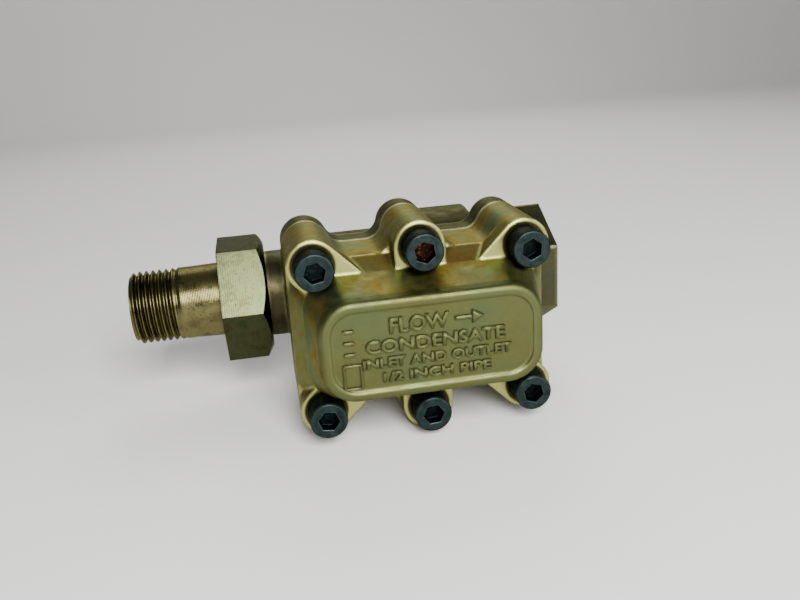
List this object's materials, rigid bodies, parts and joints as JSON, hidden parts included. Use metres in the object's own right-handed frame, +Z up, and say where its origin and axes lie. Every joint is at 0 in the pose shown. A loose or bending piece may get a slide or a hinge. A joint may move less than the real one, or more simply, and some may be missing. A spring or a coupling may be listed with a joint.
{
  "type": "thermostatic steam trap",
  "caption": "Bimetal steam trap with in-line pipe ports: rear body with union inlet and hexagon outlet, bolted front cover with raised plate, strainer and check-valve ball inside.",
  "frame": {"origin": "centre of the outlet face on the pipe axis", "axes": "+X along the pipe axis from inlet to outlet, -Y out of the cover, +Z up"},
  "size_m": [0.1212, 0.0739, 0.0556],
  "materials": {
    "body_plating": "forged steel with yellow chromate zinc plating, olive gold, semi-gloss",
    "cover_plating": "forged steel with yellow chromate zinc plating, golden olive, semi-gloss",
    "nut_plating": "machined steel with yellow chromate zinc plating, pale gold",
    "tailpiece_plating": "turned steel with bronze-coloured chromate plating",
    "black_oxide_steel": "black oxide, oiled",
    "graphite_sheet": "matt graphite sheet",
    "soft_steel": "annealed steel",
    "stainless_steel": "ground stainless steel",
    "stainless_mesh": "perforated stainless sheet",
    "spring_steel": "phosphated spring steel",
    "bimetal_strip": "rolled thermostatic bimetal"
  },
  "bodies": {
    "root": {"body": "body_plating", "cover": "cover_plating", "cover_gasket": "graphite_sheet", "cap_screw_1": "black_oxide_steel", "cap_screw_2": "black_oxide_steel", "cap_screw_3": "black_oxide_steel", "cap_screw_4": "black_oxide_steel", "cap_screw_5": "black_oxide_steel", "cap_screw_6": "black_oxide_steel", "valve_seat": "stainless_steel", "seat_gasket": "soft_steel", "stack_foot_washer": "stainless_steel", "bimetal_leaf_1_a": "bimetal_strip", "strainer_screen": "stainless_mesh", "strainer_collar": "stainless_mesh", "strainer_snap_ring": "spring_steel", "union_gasket": "graphite_sheet"},
    "tailpiece": {"union_tailpiece": "tailpiece_plating"},
    "union": {"union_nut": "nut_plating"},
    "valve": {"valve_stem": "stainless_steel", "valve_ball": "stainless_steel", "adjusting_nut": "stainless_steel", "lock_nut": "stainless_steel", "stack_top_washer": "stainless_steel", "bimetal_leaf_5_b": "bimetal_strip"},
    "stack_step_1": {"bimetal_leaf_1_b": "bimetal_strip", "bimetal_leaf_2_a": "bimetal_strip"},
    "stack_step_2": {"bimetal_leaf_2_b": "bimetal_strip", "bimetal_leaf_3_a": "bimetal_strip"},
    "stack_step_3": {"bimetal_leaf_3_b": "bimetal_strip", "bimetal_leaf_4_a": "bimetal_strip"},
    "stack_step_4": {"bimetal_leaf_4_b": "bimetal_strip", "bimetal_leaf_5_a": "bimetal_strip"}
  },
  "joints": [
    {"name": "tailpiece_slide", "type": "slide", "parent": "root", "child": "tailpiece", "axis": [-1, 0, 0], "range_m": [0, 0.00675]},
    {"name": "union_nut_turn", "type": "hinge", "parent": "tailpiece", "child": "union", "pos_m": [-0.08965, 0, 0], "axis": [-1, 0, 0], "range_deg": [0, 1620]},
    {"name": "valve_slide", "type": "slide", "parent": "root", "child": "valve", "axis": [0, -1, 0], "range_m": [0, 0.0012]},
    {"name": "stack_step_1_slide", "type": "slide", "parent": "root", "child": "stack_step_1", "axis": [0, -1, 0], "range_m": [0, 0.00024]},
    {"name": "stack_step_2_slide", "type": "slide", "parent": "root", "child": "stack_step_2", "axis": [0, -1, 0], "range_m": [0, 0.00048]},
    {"name": "stack_step_3_slide", "type": "slide", "parent": "root", "child": "stack_step_3", "axis": [0, -1, 0], "range_m": [0, 0.00072]},
    {"name": "stack_step_4_slide", "type": "slide", "parent": "root", "child": "stack_step_4", "axis": [0, -1, 0], "range_m": [0, 0.00096]}
  ],
  "couplings": [
    {"joint": "tailpiece_slide", "follows": "union_nut_turn", "m_per_rad": 0.00023873},
    {"joint": "stack_step_1_slide", "follows": "valve_slide", "ratio": 0.2},
    {"joint": "stack_step_2_slide", "follows": "valve_slide", "ratio": 0.4},
    {"joint": "stack_step_3_slide", "follows": "valve_slide", "ratio": 0.6},
    {"joint": "stack_step_4_slide", "follows": "valve_slide", "ratio": 0.8}
  ]
}
